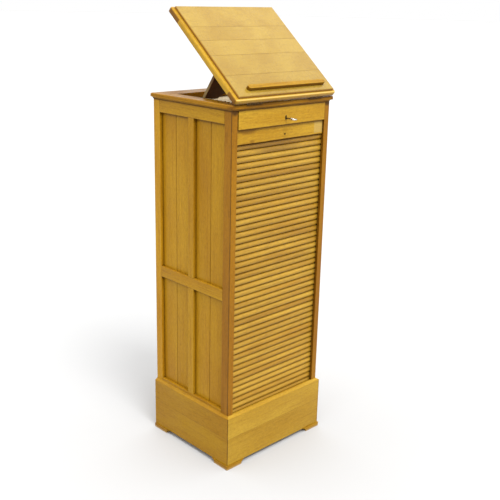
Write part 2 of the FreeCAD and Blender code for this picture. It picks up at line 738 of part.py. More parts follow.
def lock():
    """Half-mortise lock: case, keyhole lining, a bolt that drops into the lead rail, and the key.

    The key lies level with its bit to the right; a quarter turn swings the bit down and throws the bolt.
    """
    case_y = (front + d.lock_rail_thick - d.lock_deep, front + d.lock_rail_thick)
    play = d.bolt_play
    shell = box((d.lock_x - d.lock_half, d.lock_x + d.lock_half), case_y,
                (lock_rail_low, lock_rail_low + d.lock_tall))
    bolt_way = box((d.lock_x - d.bolt_half - play, d.lock_x + d.bolt_half + play),
                   (bolt_front - play, bolt_back + play),
                   (lock_rail_low - OVER, bolt_low + d.bolt_tall + play))
    key_way = keyhole(0, (case_y[0] - OVER, bolt_back))
    bit_way = rod("y", (d.lock_x, key_z), d.bolt_half, (bolt_back, case_y[1] - d.lock_cap))
    keep("lock_case", cut(shell, fuse(bolt_way, key_way, bit_way)))

    lining_y = (front - d.eyelet_out, front + d.eyelet_deep)
    keep("keyhole_eyelet", cut(keyhole(d.eyelet_wall, lining_y),
                               keyhole(0, (lining_y[0] - OVER, lining_y[1] + OVER))))

    plate = box((d.lock_x - d.bolt_half, d.lock_x + d.bolt_half), (bolt_front, bolt_back),
                (bolt_low, bolt_low + d.bolt_tall))
    slot = box((d.lock_x - d.hole_r, d.lock_x + d.hole_r), (bolt_front - OVER, bolt_back + OVER),
               (key_z - d.hole_r, key_z + d.bolt_throw + d.hole_r))
    keep("lock_bolt", cut(plate, slot))

    bow_y = front - d.key_out
    tip_y = case_y[1] - d.key_short
    shank = rod("y", (d.lock_x, key_z), d.key_r, (bow_y, tip_y))
    collar = rod("y", (d.lock_x, key_z), d.key_r + d.collar_wide, (bow_y, bow_y + d.collar_long))
    bit = box((d.lock_x, d.lock_x + d.bolt_half - d.bit_short), (bolt_back + d.bit_play, tip_y - d.bit_play),
              (key_z - d.bit_half, key_z + d.bit_half))
    bow = doc.addObject("Part::Torus", "Bow")
    bind(bow, "Radius1", d.bow_r)
    bind(bow, "Radius2", d.bow_wire)
    bind(bow, "Placement.Base.x", d.lock_x)
    bind(bow, "Placement.Base.y", bow_y - d.bow_r)
    bind(bow, "Placement.Base.z", key_z)
    keep("key", fuse(shank, collar, bit, bow))


def curtain():
    """The tambour: a lead rail mortised for the bolt, half-round slats and their canvas backing."""
    play = d.bolt_play
    tongues = box((-curtain_half, curtain_half), (curtain_front, curtain_back), (lead_low, lead_top))
    face_half = inner - d.lead_clear
    face = box((-face_half, face_half), (curtain_front - d.lead_proud, curtain_front), (lead_low, lead_top))
    rail = fuse(tongues, face)
    mortise = box((d.lock_x - d.bolt_half - play, d.lock_x + d.bolt_half + play),
                  (bolt_front - play, bolt_back + play),
                  (lead_top - d.bolt_throw - d.mortise_spare, lead_top + OVER))
    peg_hole = rod("y", (d.lock_x + d.peg_aside, lead_low + d.peg_up), d.peg_r,
                   (curtain_front - d.lead_proud - OVER, curtain_front + d.peg_deep))
    keep("lead_rail", cut(rail, mortise, peg_hole))

    bead_top = lead_low - d.slat_gap / 2
    bead_low = bead_top - d.slat_pitch + d.slat_gap
    half = (d.slat_pitch - d.slat_gap) / 2
    bead_r = (half * half + d.slat_thick * d.slat_thick) / (d.slat_thick * 2)
    beads = prism("YZ_Plane", [(slat_back, bead_top, bead_r), (slat_back, bead_low)],
                  (-curtain_half, curtain_half))
    pattern = beads.newObject("PartDesign::LinearPattern", "Slats")
    pattern.Originals = [beads.Tip]
    pattern.Direction = (origin_plane(beads, "Z_Axis"), [""])
    pattern.Reversed = True
    bind(pattern, "Length", d.slat_pitch * (slat_count - 1))
    bind(pattern, "Occurrences", slat_count)
    beads.Tip = pattern
    keep("tambour_slats", beads)
    keep("tambour_canvas", box((-curtain_half, curtain_half), (slat_back, curtain_back),
                               (curtain_low, lead_low)))


# ---------------------------------------------------------------- reading slope and its prop

pin_y = front - d.top_proud - d.pin_ahead
pin_z = top_surface + d.pin_above
slope_pin = (pin_y, pin_z)
slope_low = pin_z + d.pin_above
slope_top = slope_low + d.slope_thick
slope_back = pin_y + d.slope_long
slope_half = d.slope_width / 2

prop_pin_drop = slope_low - pin_z - d.prop_leaf - d.knuckle_r + d.knuckle_sunk
prop_lean = d.slope_angle - d.prop_angle
prop_pin_y = pin_y + d.prop_pin_at * d.slope_angle.cos() - prop_pin_drop * d.slope_angle.sin()
prop_pin_z = pin_z + d.prop_pin_at * d.slope_angle.sin() + prop_pin_drop * d.slope_angle.cos()
prop_face = -d.knuckle_r + d.knuckle_sunk - d.prop_leaf
prop_round = d.prop_thick / 2
prop_middle = prop_face - prop_round
foot_centre_z = top_surface - d.rack_tooth + d.foot_gap + prop_round
prop_long = (foot_centre_z - prop_pin_z - prop_middle * prop_lean.cos()) / prop_lean.sin() + prop_round
foot_y = prop_pin_y + (prop_long - prop_round) * prop_lean.cos() - prop_middle * prop_lean.sin()


def hinge_span(sign, extra):
    return (d.hinge_x * sign - d.hinge_half - extra, d.hinge_x * sign + d.hinge_half + extra)


def knuckles(middle_x, half, at_ends):
    """The barrel segments of one leaf: both end thirds, or the middle third."""
    third = half * 2 / 3
    gap = d.knuckle_gap / 2
    starts = (0, 2) if at_ends else (1,)
    spans = []
    for start in starts:
        low = middle_x - half + third * start
        spans.append((low + gap, low + third - gap))
    return spans


def hinge_leaf(middle_x, half, at_ends, axis, leaf_y, leaf_z):
    """One leaf of a butt hinge along X: a flat plate, its barrel segments, and the bore for the pin."""
    axis_y, axis_z = axis
    near = axis_y + (d.knuckle_r + d.knuckle_gap) * (1 if leaf_y.value > axis_y.value else -1)
    pieces = [box((middle_x - half, middle_x + half), (near, leaf_y), leaf_z)]
    for span in knuckles(middle_x, half, at_ends):
        pieces.append(box(span, (axis_y, near), leaf_z))
        pieces.append(rod("x", axis, d.knuckle_r, span))
    bore = rod("x", axis, d.pin_r + d.pin_play, (middle_x - half - OVER, middle_x + half + OVER))
    return cut(fuse(*pieces), bore)


def slope_hinges():
    """Two butt hinges on the front edge: fixed leaves on the top, moving leaves under the slope."""
    fixed_z = (pin_z - d.leaf_gap - d.leaf, pin_z - d.leaf_gap)
    moving_z = (pin_z + d.leaf_gap, pin_z + d.leaf_gap + d.leaf)
    leaf_y = pin_y + d.leaf_wide
    fixed, moving, pins = [], [], []
    for sign in (-1, 1):
        middle_x = d.hinge_x * sign
        fixed.append(hinge_leaf(middle_x, d.hinge_half, True, slope_pin, leaf_y, fixed_z))
        moving.append(hinge_leaf(middle_x, d.hinge_half, False, slope_pin, leaf_y, moving_z))
        pins.append(rod("x", slope_pin, d.pin_r, (middle_x - d.hinge_half, middle_x + d.hinge_half)))
    keep("slope_hinge_fixed_leaves", group(*fixed))
    keep("slope_hinge_pins", group(*pins))
    keep("slope_hinge_moving_leaves", turned_about_x(group(*moving), slope_pin, d.slope_angle))


def slope():
    """The reading slope, modelled lying closed on the top and then swung up about its hinges."""
    level = (slope_low, slope_top)
    leaf_space = []
    for sign in (-1, 1):
        span = hinge_span(sign, d.fit_gap)
        under = slope_low - OVER
        leaf_space.append(fuse(
            box(span, (pin_y - d.pin_room, pin_y + d.leaf_wide + d.fit_gap),
                (under, pin_z + d.leaf_gap + d.leaf)),
            box(span, (pin_y - d.pin_room, pin_y + d.knuckle_r + d.knuckle_gap),
                (under, pin_z + d.knuckle_r + d.knuckle_gap)),
        ))

    front_rail = box((-slope_half, slope_half), (pin_y, pin_y + d.slope_front_rail), level)
    front_rail = cut(rounded_member(front_rail, pin_y), *leaf_space)
    keep("slope_front_rail", turned_about_x(front_rail, slope_pin, d.slope_angle))

    back_rail = box((-slope_half, slope_half), (slope_back - d.slope_back_rail, slope_back), level)
    keep("slope_back_rail", turned_about_x(rounded_member(back_rail, slope_back), slope_pin, d.slope_angle))

    for name, sign in (("left", -1), ("right", 1)):
        stile = box((slope_half * sign, (slope_half - d.slope_stile) * sign),
                    (pin_y + d.slope_front_rail, slope_back - d.slope_back_rail), level)
        keep("slope_%s_stile" % name, turned_about_x(rounded_member(stile, None), slope_pin, d.slope_angle))

    keep("slope_boards", turned_about_x(slope_boards(), slope_pin, d.slope_angle))

    ledge_y = (pin_y + d.ledge_near, pin_y + d.ledge_near + d.ledge_wide)
    end_r = d.ledge_wide / 2
    straight = (d.ledge_long - d.ledge_wide) / 2
    ledge = prism("XY_Plane", [
        (d.ledge_x - straight, ledge_y[0]),
        (d.ledge_x + straight, ledge_y[0], end_r + ARC_SPARE),
        (d.ledge_x + straight, ledge_y[1]),
        (d.ledge_x - straight, ledge_y[1], end_r + ARC_SPARE),
    ], (slope_top + d.board_thick, slope_top + d.board_thick + d.ledge_tall))
    keep("book_ledge", turned_about_x(ledge, slope_pin, d.slope_angle))


def rounded_member(member, outer_y):
    """Round a member of the slope's frame outside: the corners at outer_y, then both long edges."""
    half, corner = slope_half.value, d.slope_corner.value

    def at_end(middle):
        return outer_y is not None and abs(middle.y - outer_y.value) < NEAR

    def on_outside(middle):
        return at_end(middle) or abs(middle.x) > half - corner

    if outer_y is not None:
        member = rounded(member, d.slope_corner, lambda middle, edge: (
            at_end(middle) and abs(abs(middle.x) - half) < NEAR))
    for level, radius in ((slope_top, d.slope_round), (slope_low, d.slope_under)):
        member = rounded(member, radius, lambda middle, edge: (
            abs(middle.z - level.value) < NEAR and on_outside(middle)))
    return member


def slope_boards():
    """Five boards edge to edge make the raised face."""
    near = pin_y + d.board_in
    far = slope_back - d.board_in
    half = slope_half - d.board_in_side
    joints = [near + (far - near) * share for share in (d.board_1, d.board_2, d.board_3, d.board_4)]
    starts = [near] + [joint + d.board_gap / 2 for joint in joints]
    ends = [joint - d.board_gap / 2 for joint in joints] + [far]
    boards = []
    for low_y, high_y in zip(starts, ends):
        board = box((-half, half), (low_y, high_y), (slope_top, slope_top + d.board_thick))
        board = rounded(board, d.board_round, lambda middle, edge: (
            abs(middle.z - slope_top.value - d.board_thick.value) < NEAR
            and (abs(abs(middle.x) - half.value) < NEAR
                 or abs(middle.y - near.value) < NEAR
                 or abs(middle.y - far.value) < NEAR)))
        boards.append(board)
    return group(*boards)


def prop():
    """The prop, modelled from its own hinge axis and then stood in its notches, and its hinges."""
    near, far = prop_face - d.prop_thick, prop_face
    foot_in = d.prop_half - d.prop_foot
    arch_in = foot_in - d.prop_arch
    neck_end = d.prop_start + d.prop_neck_long
    wide_from = neck_end + d.prop_shoulder
    board = prism("XY_Plane", [
        (-d.prop_neck, d.prop_start),
        (d.prop_neck, d.prop_start),
        (d.prop_neck, neck_end),
        (d.prop_half, wide_from),
        (d.prop_half, prop_long),
        (foot_in, prop_long),
        (arch_in, prop_long - d.prop_arch, -d.prop_arch_r),
        (-arch_in, prop_long - d.prop_arch),
        (-foot_in, prop_long),
        (-d.prop_half, prop_long),
        (-d.prop_half, wide_from),
        (-d.prop_neck, neck_end),
    ], (near, far))
    board = rounded(board, prop_round - SLIVER, lambda middle, edge: (
        abs(middle.y - prop_long.value) < NEAR and edge.BoundBox.XLength > d.prop_thick.value))
    keep("prop_board", stand_prop(board))

    axis = (as_size(0), as_size(0))
    leaves, pins, slope_leaves = [], [], []
    half = d.prop_hinge_half
    slope_axis = (pin_y + d.prop_pin_at, pin_z + prop_pin_drop)
    for sign in (-1, 1):
        middle_x = d.prop_hinge_x * sign
        leaves.append(hinge_leaf(middle_x, half, False, axis, d.leaf_wide,
                                 (prop_face, prop_face + d.prop_leaf)))
        pins.append(rod("x", slope_axis, d.pin_r, (middle_x - half, middle_x + half)))
        slope_leaves.append(hinge_leaf(middle_x, half, True, slope_axis, slope_axis[0] - d.leaf_wide,
                                       (slope_low - d.prop_leaf, slope_low)))
    keep("prop_hinge_leaves", stand_prop(group(*leaves)))
    keep("prop_hinge_slope_leaves", turned_about_x(group(*slope_leaves), slope_pin, d.slope_angle))
    keep("prop_hinge_pins", turned_about_x(group(*pins), slope_pin, d.slope_angle))


def stand_prop(obj):
    obj.Placement = FreeCAD.Placement(
        FreeCAD.Vector(), FreeCAD.Rotation(FreeCAD.Vector(1, 0, 0), prop_lean.value))
    bind(obj, "Placement.Base.y", prop_pin_y)
    bind(obj, "Placement.Base.z", prop_pin_z)
    return obj


def check_document():
    """Stop if any object failed or any sub-part has no valid solid."""
    for obj in doc.Objects:
        if "Invalid" in obj.State or "Error" in obj.State:
            raise RuntimeError("%s (%s) failed: %s" % (obj.Label, obj.Name, obj.State))
    for obj in nodes:
        if obj.Shape.isNull() or not obj.Shape.isValid() or not obj.Shape.Solids:
            raise RuntimeError("%s has no valid solid" % obj.Label)


def write_parts():
    os.makedirs("parts", exist_ok=True)
    for obj in nodes:
        obj.Shape.exportStep("parts/%s.step" % obj.Label)


def report_sizes():
    whole = Part.makeCompound([obj.Shape for obj in nodes]).BoundBox
    print("nodes %d" % len(nodes))
    print("box X %.2f %.2f  Y %.2f %.2f  Z %.2f %.2f" % (
        whole.XMin, whole.XMax, whole.YMin, whole.YMax, whole.ZMin, whole.ZMax))
    print("slope hinge axis y %.3f z %.3f" % (pin_y.value, pin_z.value))
    print("prop hinge axis y %.3f z %.3f" % (prop_pin_y.value, prop_pin_z.value))
    print("key axis x %.3f z %.3f" % (d.lock_x.value, key_z.value))
    print("curtain low %.3f lead low %.3f foot y %.3f" % (curtain_low.value, lead_low.value, foot_y.value))


side_frames()
front_rails()
back_frame()
plinth()
foot_blocks()
top_frame()
well()
cupboard()
lock()
curtain()
slope_hinges()
slope()
prop()
doc.recompute()
check_document()
write_parts()
report_sizes()
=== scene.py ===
"""Looks for the tambour-front oak cabinet: materials, the curtain's slats and canvas, light and camera.

Everything is in metres in the cabinet's own frame: the front faces -Y, the left side -X, and +Z is up.
"""
import json
import math
import random

import bpy
from mathutils import Matrix, Vector


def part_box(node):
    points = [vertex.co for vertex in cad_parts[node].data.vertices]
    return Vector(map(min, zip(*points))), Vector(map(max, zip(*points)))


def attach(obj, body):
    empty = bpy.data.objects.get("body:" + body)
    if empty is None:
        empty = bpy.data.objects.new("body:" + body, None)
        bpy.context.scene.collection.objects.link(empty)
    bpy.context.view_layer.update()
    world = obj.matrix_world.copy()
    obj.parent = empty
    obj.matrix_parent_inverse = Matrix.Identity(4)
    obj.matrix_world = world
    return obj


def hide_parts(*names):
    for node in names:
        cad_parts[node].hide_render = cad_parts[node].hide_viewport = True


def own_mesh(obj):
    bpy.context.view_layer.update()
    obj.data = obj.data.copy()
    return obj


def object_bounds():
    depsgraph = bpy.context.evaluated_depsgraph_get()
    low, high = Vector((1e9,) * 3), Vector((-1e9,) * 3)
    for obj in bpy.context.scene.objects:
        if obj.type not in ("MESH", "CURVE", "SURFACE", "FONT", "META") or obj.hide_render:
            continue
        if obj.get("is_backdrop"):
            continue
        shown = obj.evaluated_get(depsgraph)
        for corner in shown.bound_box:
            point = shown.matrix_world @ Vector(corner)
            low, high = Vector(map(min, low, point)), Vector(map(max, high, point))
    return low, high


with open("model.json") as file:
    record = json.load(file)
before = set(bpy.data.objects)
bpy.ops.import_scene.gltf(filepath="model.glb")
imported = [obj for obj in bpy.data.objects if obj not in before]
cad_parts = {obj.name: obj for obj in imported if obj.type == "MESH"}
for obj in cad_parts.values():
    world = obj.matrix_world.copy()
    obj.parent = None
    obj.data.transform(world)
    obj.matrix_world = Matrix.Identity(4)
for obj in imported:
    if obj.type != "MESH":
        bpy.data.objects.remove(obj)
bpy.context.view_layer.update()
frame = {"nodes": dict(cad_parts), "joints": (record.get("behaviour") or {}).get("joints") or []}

MM = 0.001
JOINTS = {joint["name"]: joint for joint in frame["joints"]}
draw = random.Random(1890)

# sizes that part.py gives the pieces and that no node's box shows
SLOPE_TILT = math.radians(40)
SLAT_PITCH, SLAT_GAP = 19.05 * MM, 0.25 * MM
SLAT_COUNT = 47
SIDE_SHOULDERS = (-131 * MM, 172 * MM)          # where the side rails meet the stiles
SIDE_BOARDS = ("y", 82.5 * MM, -144.5 * MM)     # axis, width and start of the side panels' boards
SIDE_JOINTS = (-62 * MM, 103 * MM)              # the V-joints between them
PLINTH_JOINT = 108 * MM
SLOPE_CLEAR = 0.6 * MM                          # hinge axis to the slope's underside
SLOPE_FRAME, SLOPE_BOARD = 16.8 * MM, 7.5 * MM  # thickness of its frame, and of its boards above that
SLOPE_BOARD_ENDS = (8 * MM, 377 * MM)           # hinge axis to the boards' front and back edges
SLOPE_BOARD_JOINTS = (0.222, 0.438, 0.604, 0.758)

# the light
SUN_STRENGTH, SUN_FROM, SUN_SPREAD = 2.5, (-0.3, -1.5, 3.0), math.radians(24)
SKY_LEVEL, SKY_OVERHEAD = 1.0, 2.4
FLOOR_GREY = 0.42


# ---------------------------------------------------------------- camera

def place_camera():
    azimuth, elevation, roll = math.radians(-44.06), math.radians(17.47), math.radians(1.33)
    distance, aside, below = 2.6726, 0.03565, -0.03335
    target = Vector((0, 0.0185, 0.69))
    back = Vector((math.sin(azimuth) * math.cos(elevation), -math.cos(azimuth) * math.cos(elevation),
                   math.sin(elevation)))
    level = (-back).cross(Vector((0, 0, 1))).normalized()
    raised = level.cross(-back)
    right = level * math.cos(roll) + raised * math.sin(roll)
    up = raised * math.cos(roll) - level * math.sin(roll)
    data = bpy.data.cameras.new("camera")
    data.lens = 58.03
    data.sensor_width = 36
    data.clip_start = 0.05
    data.clip_end = 200
    camera = bpy.data.objects.new("camera", data)
    turn = Matrix((right, up, back)).transposed().to_4x4()
    camera.matrix_world = Matrix.Translation(back * distance + right * aside + up * below + target) @ turn
    bpy.context.scene.collection.objects.link(camera)
    bpy.context.scene.camera = camera


# ---------------------------------------------------------------- shader helpers

def colour(red, green, blue):
    """A colour given in the usual 0 to 255 display values, as linear light."""
    values = []
    for value in (red, green, blue):
        share = value / 255
        values.append(share / 12.92 if share <= 0.04045 else ((share + 0.055) / 1.055) ** 2.4)
    return (*values, 1)


class Nodes:
    """A material's node tree, with short calls for the nodes used here."""

    def __init__(self, name):
        self.material = bpy.data.materials.new(name)
        self.material.use_nodes = True
        self.tree = self.material.node_tree
        self.tree.nodes.clear()

    def add(self, kind, inputs=(), **settings):
        node = self.tree.nodes.new("ShaderNode" + kind)
        for name, value in settings.items():
            setattr(node, name, value)
        for socket, value in dict(inputs).items():
            self.feed(node.inputs[socket], value)
        return node

    def feed(self, socket, value):
        if isinstance(value, bpy.types.NodeSocket):
            self.tree.links.new(value, socket)
        else:
            socket.default_value = value

    def math(self, operation, *values, clamp=False):
        return self.add("Math", enumerate(values), operation=operation, use_clamp=clamp).outputs[0]

    def vector(self, operation, *values):
        node = self.add("VectorMath", enumerate(values), operation=operation)
        return node.outputs["Value" if operation in ("LENGTH", "DISTANCE", "DOT_PRODUCT") else "Vector"]

    def scaled(self, vector, factor):
        node = self.add("VectorMath", {"Vector": vector, "Scale": factor}, operation="SCALE")
        return node.outputs["Vector"]

    def noise(self, vector, scale, detail=2.0, rough=0.5, distortion=0.0):
        return self.add("TexNoise", {"Vector": vector, "Scale": scale, "Detail": detail, "Roughness": rough,
                                     "Distortion": distortion}).outputs["Fac"]

    def spread(self, value, low, high, to_low=0.0, to_high=1.0):
        return self.add("MapRange", {"Value": value, "From Min": low, "From Max": high, "To Min": to_low,
                                     "To Max": to_high}, interpolation_type="SMOOTHSTEP").outputs[0]

    def mix(self, share, first, second):
        """From the first colour to the second as share goes from 0 to 1."""
        node = self.add("Mix", data_type="RGBA", blend_type="MIX", clamp_factor=True)
        self.feed(node.inputs[0], share)
        self.feed(node.inputs[6], first)
        self.feed(node.inputs[7], second)
        return node.outputs[2]

    def bump(self, height, distance, strength=1.0, normal=None):
        inputs = {"Height": height, "Distance": distance, "Strength": strength}
        if normal is not None:
            inputs["Normal"] = normal
        return self.add("Bump", inputs).outputs["Normal"]

    def surface(self, base, roughness, normal, **fixed):
        shader = self.add("BsdfPrincipled", {"Base Color": base, "Roughness": roughness, "Normal": normal})
        for name, value in fixed.items():
            shader.inputs[name.replace("_", " ")].default_value = value
        output = self.add("OutputMaterial")
        self.tree.links.new(shader.outputs[0], output.inputs["Surface"])
        return self.material


# ---------------------------------------------------------------- oak

AXES = {"x": 0, "y": 1, "z": 2}
PALETTES = {
    # pale wood, mid wood, dark streak, crevice
    "golden": (colour(174, 136, 38), colour(159, 118, 26), colour(126, 83, 12), colour(78, 44, 7)),
    "plinth": (colour(166, 132, 42), colour(152, 115, 30), colour(122, 83, 16), colour(78, 46, 8)),
    "worn": (colour(166, 130, 42), colour(149, 109, 25), colour(114, 74, 12), colour(78, 46, 8)),
    "side": (colour(157, 117, 20), colour(145, 102, 14), colour(116, 74, 9), colour(74, 42, 6)),
    "edge": (colour(142, 96, 14), colour(128, 82, 11), colour(100, 60, 7), colour(64, 34, 5)),
    "slope": (colour(152, 124, 45), colour(141, 111, 35), colour(115, 84, 20), colour(74, 44, 8)),
    "rim": (colour(148, 105, 18), colour(130, 86, 11), colour(96, 57, 7), colour(44, 22, 4)),
    "umber": (colour(104, 68, 34), colour(80, 50, 22), colour(50, 28, 12), colour(26, 14, 6)),
    "very_pale": (colour(222, 206, 172), colour(196, 176, 138), colour(150, 126, 90), colour(70, 50, 30)),
    "stained": (colour(96, 54, 24), colour(74, 39, 17), colour(48, 26, 11), colour(22, 11, 5)),
}
GOLD = (1.0, 0.74, 0.30, 1)
TINTS = {"worn": (1.0, 0.84, 0.52, 1), "slope": (1.0, 0.84, 0.55, 1), "umber": (1.0, 0.72, 0.45, 1),
         "very_pale": (1.0, 0.85, 0.65, 1), "stained": (1.0, 0.66, 0.40, 1)}


def plank_tones(n, board):
    """A random offset and a random value for each board number."""
    dice = n.add("TexWhiteNoise", {"W": n.math("ADD", board, draw.uniform(3, 90))}, noise_dimensions="1D")
    return dice.outputs["Color"], dice.outputs["Value"]


def line_mask(n, coordinate, at, half_width, wander, waver):
    """One where a coordinate is within half_width of at, with a slightly unsteady edge."""
    moved = n.math("ADD", n.math("SUBTRACT", coordinate, at),
                   n.math("MULTIPLY", n.math("SUBTRACT", wander, 0.5), waver))
    return n.spread(n.math("ABSOLUTE", moved), half_width, half_width * 0.35)


def oak(name, palette, along, tone=1.0, planks=None, seams=(), lines=(), tilt=0.0, attribute=False, spots=(),
        patches=(), gloss=0.34, figure=1.0, painted_shade_amount=1.0, contrast=1.0, coat=0.04, shine=0.18, short=1.0,
        faces=()):
    """Varnished oak with its grain along one axis.

    planks is (axis, pitch, origin) and seams is (axis, places), where one node holds several boards.
    lines are dark joints, and painted shadow lines under rails and mouldings and in gaps, each (axis, place,
    half width, strength). spots are stains and painted shade, each (centre, reach, colour, strength), and
    patches are oblong ones, real marks or a painted highlight, each (low corner, high corner, colour,
    strength).
    With attribute the mesh carries its own rest position, board number and height across the bead, from -1
    at its lower edge to 1. short above 1 makes the figure shorter along the grain. faces colour the faces
    that look along an axis: darker end grain, painted shade on faces turned from the light and painted light
    on faces turned to it, each (axis, colour, strength, None or the two heights it fades between)."""
    pale, mid, streak, crevice = PALETTES[palette]
    n = Nodes(name)
    board = groove = None
    if attribute:
        place = n.add("Attribute", attribute_name="rest_place").outputs["Vector"]
        board = n.add("Attribute", attribute_name="board").outputs["Fac"]
        groove = n.add("Attribute", attribute_name="groove").outputs["Fac"]
    else:
        place = n.add("TexCoord").outputs["Object"]
        if tilt:
            place = n.add("VectorRotate", {"Vector": place, "Angle": -tilt},
                          rotation_type="X_AXIS").outputs["Vector"]
    parts = n.add("SeparateXYZ", {0: place}).outputs
    if planks:
        axis, pitch, origin = planks
        board = n.math("FLOOR", n.math("DIVIDE", n.math("SUBTRACT", parts[AXES[axis]], origin), pitch))
    if seams:
        axis, places = seams
        board = n.math("GREATER_THAN", parts[AXES[axis]], places[0])
        for at in places[1:]:
            board = n.math("ADD", board, n.math("GREATER_THAN", parts[AXES[axis]], at))
    seed = Vector((draw.uniform(-9, 9), draw.uniform(-9, 9), draw.uniform(-9, 9)))
    shifted = n.vector("ADD", place, seed)
    board_tone = None
    if board is not None:
        offset, board_tone = plank_tones(n, board)
        shifted = n.vector("ADD", shifted, offset)

    def stretched(lengthwise):
        scale = [1.0, 1.0, 1.0]
        scale[AXES[along]] = lengthwise * short
        return n.vector("MULTIPLY", shifted, Vector(scale))

    broad = n.noise(stretched(0.35), 6, detail=2)
    wander = n.noise(stretched(0.16), 16, detail=3)
    drift = n.add("CombineXYZ", {0: wander, 1: wander, 2: wander}).outputs[0]
    bent = n.vector("ADD", stretched(0.055), n.scaled(drift, 0.018))
    rings = n.noise(bent, 120, detail=4, rough=0.62)
    fine = n.noise(stretched(0.04), 430, detail=3, rough=0.6)
    pores = n.noise(stretched(0.055), 1150, detail=2, rough=0.5)
    flecks = n.noise(stretched(0.30), 190, detail=1, distortion=0.6)

    wood = n.mix(n.spread(broad, 0.30, 0.72), pale, mid)
    wood = n.mix(n.math("MULTIPLY", n.spread(rings, 0.46, 0.74), 0.62 * figure), wood, streak)
    wood = n.mix(n.math("MULTIPLY", n.spread(fine, 0.48, 0.70), 0.40 * figure), wood, streak)
    wood = n.mix(n.math("MULTIPLY", n.spread(flecks, 0.60, 0.74), 0.26 * figure), wood, pale)
    pore = n.spread(pores, 0.60, 0.70)
    wood = n.mix(n.math("MULTIPLY", pore, 0.40), wood, crevice)

    mottle = n.noise(stretched(0.40), 230, detail=3, rough=0.7)
    mottled = n.spread(mottle, 0.32, 0.68, 0.92, 1.08)
    wood = n.add("HueSaturation", {"Color": wood, "Value": mottled}).outputs[0]

    # end grain shows on faces across the grain
    if not (tilt and along == "y"):
        facing = n.add("SeparateXYZ", {0: n.add("TexCoord").outputs["Normal"]}).outputs[AXES[along]]
        end = n.spread(n.math("ABSOLUTE", facing), 0.80, 0.97)
        wood = n.mix(n.math("MULTIPLY", end, 0.40), wood, streak)

    for centre, reach, stain_and_painted_light, strength in spots:
        offset = n.vector("DIVIDE", n.vector("SUBTRACT", place, Vector(centre)), Vector(reach))
        ragged = n.math("ADD", n.vector("LENGTH", offset),
                        n.math("MULTIPLY", n.math("SUBTRACT", wander, 0.5), 1.6))
        wood = n.mix(n.math("MULTIPLY", n.spread(ragged, 1.0, 0.35), strength), wood, stain_and_painted_light)
    for low, high, stain_and_painted_light, strength in patches:
        inside = strength
        for axis in range(3):
            middle, half = (low[axis] + high[axis]) / 2, (high[axis] - low[axis]) / 2
            away = n.math("ABSOLUTE", n.math("SUBTRACT", parts[axis], middle))
            inside = n.math("MULTIPLY", n.spread(away, half, half - 3 * MM), inside)
        wood = n.mix(inside, wood, stain_and_painted_light)
    if board_tone is not None:
        value = n.spread(board_tone, 0, 1, 1 - 0.09 * contrast, 1 + 0.08 * contrast)
        wood = n.add("HueSaturation", {"Color": wood, "Value": value}).outputs[0]
    if tone != 1.0:
        wood = n.add("HueSaturation", {"Color": wood, "Value": tone}).outputs[0]

    # old varnish and wax darken the joints; the lines under rails, under mouldings and along gaps are painted
    # shadow
    for axis, at, half_width, strength in lines:
        mask = line_mask(n, parts[AXES[axis]], at, half_width, wander, min(half_width * 1.2, 1.8 * MM))
        mask = n.math("MULTIPLY", mask, n.spread(n.noise(stretched(0.5), 40), 0.35, 0.62, 0.65, 1.0))
        wood = n.mix(n.math("MULTIPLY", mask, strength), wood, crevice)
    # painted shade: each slat darker on its lower half and darkest in the grooves between slats
    if groove is not None:
        unsteady = n.math("MULTIPLY", n.math("SUBTRACT", wander, 0.5), 0.25)
        depth = n.math("ADD", n.math("ABSOLUTE", groove), unsteady)
        shaded_underside = n.math("SUBTRACT", unsteady, groove)
        wood = n.mix(n.math("MULTIPLY", n.spread(shaded_underside, -0.10, 0.95), 0.50), wood, streak)
        wood = n.mix(n.math("MULTIPLY", n.spread(depth, 0.80, 1.0), 0.75), wood, crevice)
    if painted_shade_amount:
        # painted shade: darker below what stands out and in tight corners, and not on ledges
        normal = n.add("NewGeometry").outputs["Normal"]
        upwards = n.add("SeparateXYZ", {0: normal}).outputs[2]
        raised = n.vector("NORMALIZE", n.vector("ADD", normal, Vector((0, 0, 0.9))))
        above = n.add("AmbientOcclusion", {"Distance": 14 * MM, "Normal": raised}, samples=8).outputs["AO"]
        corner = n.add("AmbientOcclusion", {"Distance": 3 * MM}, samples=6).outputs["AO"]
        painted_shade = n.math("ADD", n.math("MULTIPLY", n.spread(above, 0.82, 0.30), 0.75 * painted_shade_amount),
                      n.math("MULTIPLY", n.spread(corner, 0.72, 0.30), 0.55 * painted_shade_amount), clamp=True)
        painted_shade = n.math("MULTIPLY", painted_shade, n.spread(upwards, 0.85, 0.35, 0.25, 1.0))
        wood = n.mix(painted_shade, wood, crevice)
    if faces:
        looks = n.add("TexCoord").outputs["Normal"]
        if tilt:
            looks = n.add("VectorRotate", {"Vector": looks, "Angle": -tilt},
                          rotation_type="X_AXIS").outputs["Vector"]
        looks = n.add("SeparateXYZ", {0: looks}).outputs
        for axis, shade, strength, fade in faces:
            share = n.math("MULTIPLY", n.spread(n.math("ABSOLUTE", looks[AXES[axis]]), 0.55, 0.90), strength)
            share = n.math("MULTIPLY", share, n.spread(wander, 0.30, 0.60, 0.75, 1.0))
            if fade:
                share = n.math("MULTIPLY", share, n.spread(parts[2], *fade, 0.2, 1.0))
            wood = n.mix(share, wood, shade)

    handled = n.noise(stretched(0.6), 26, detail=3)
    roughness = n.math("ADD", n.spread(handled, 0.3, 0.75, gloss - 0.05, gloss + 0.12),
                       n.math("MULTIPLY", pore, 0.15))
    relief = n.bump(n.math("SUBTRACT", n.math("MULTIPLY", rings, 0.8), pore), 0.12 * MM, 0.55)
    relief = n.bump(broad, 1.6 * MM, 0.35, relief)
    return n.surface(wood, roughness, relief, Specular_IOR_Level=shine,
                     Specular_Tint=TINTS.get(palette, GOLD), Coat_Weight=coat, Coat_Roughness=0.16,
                     Coat_IOR=1.45)


# ---------------------------------------------------------------- metals and canvas

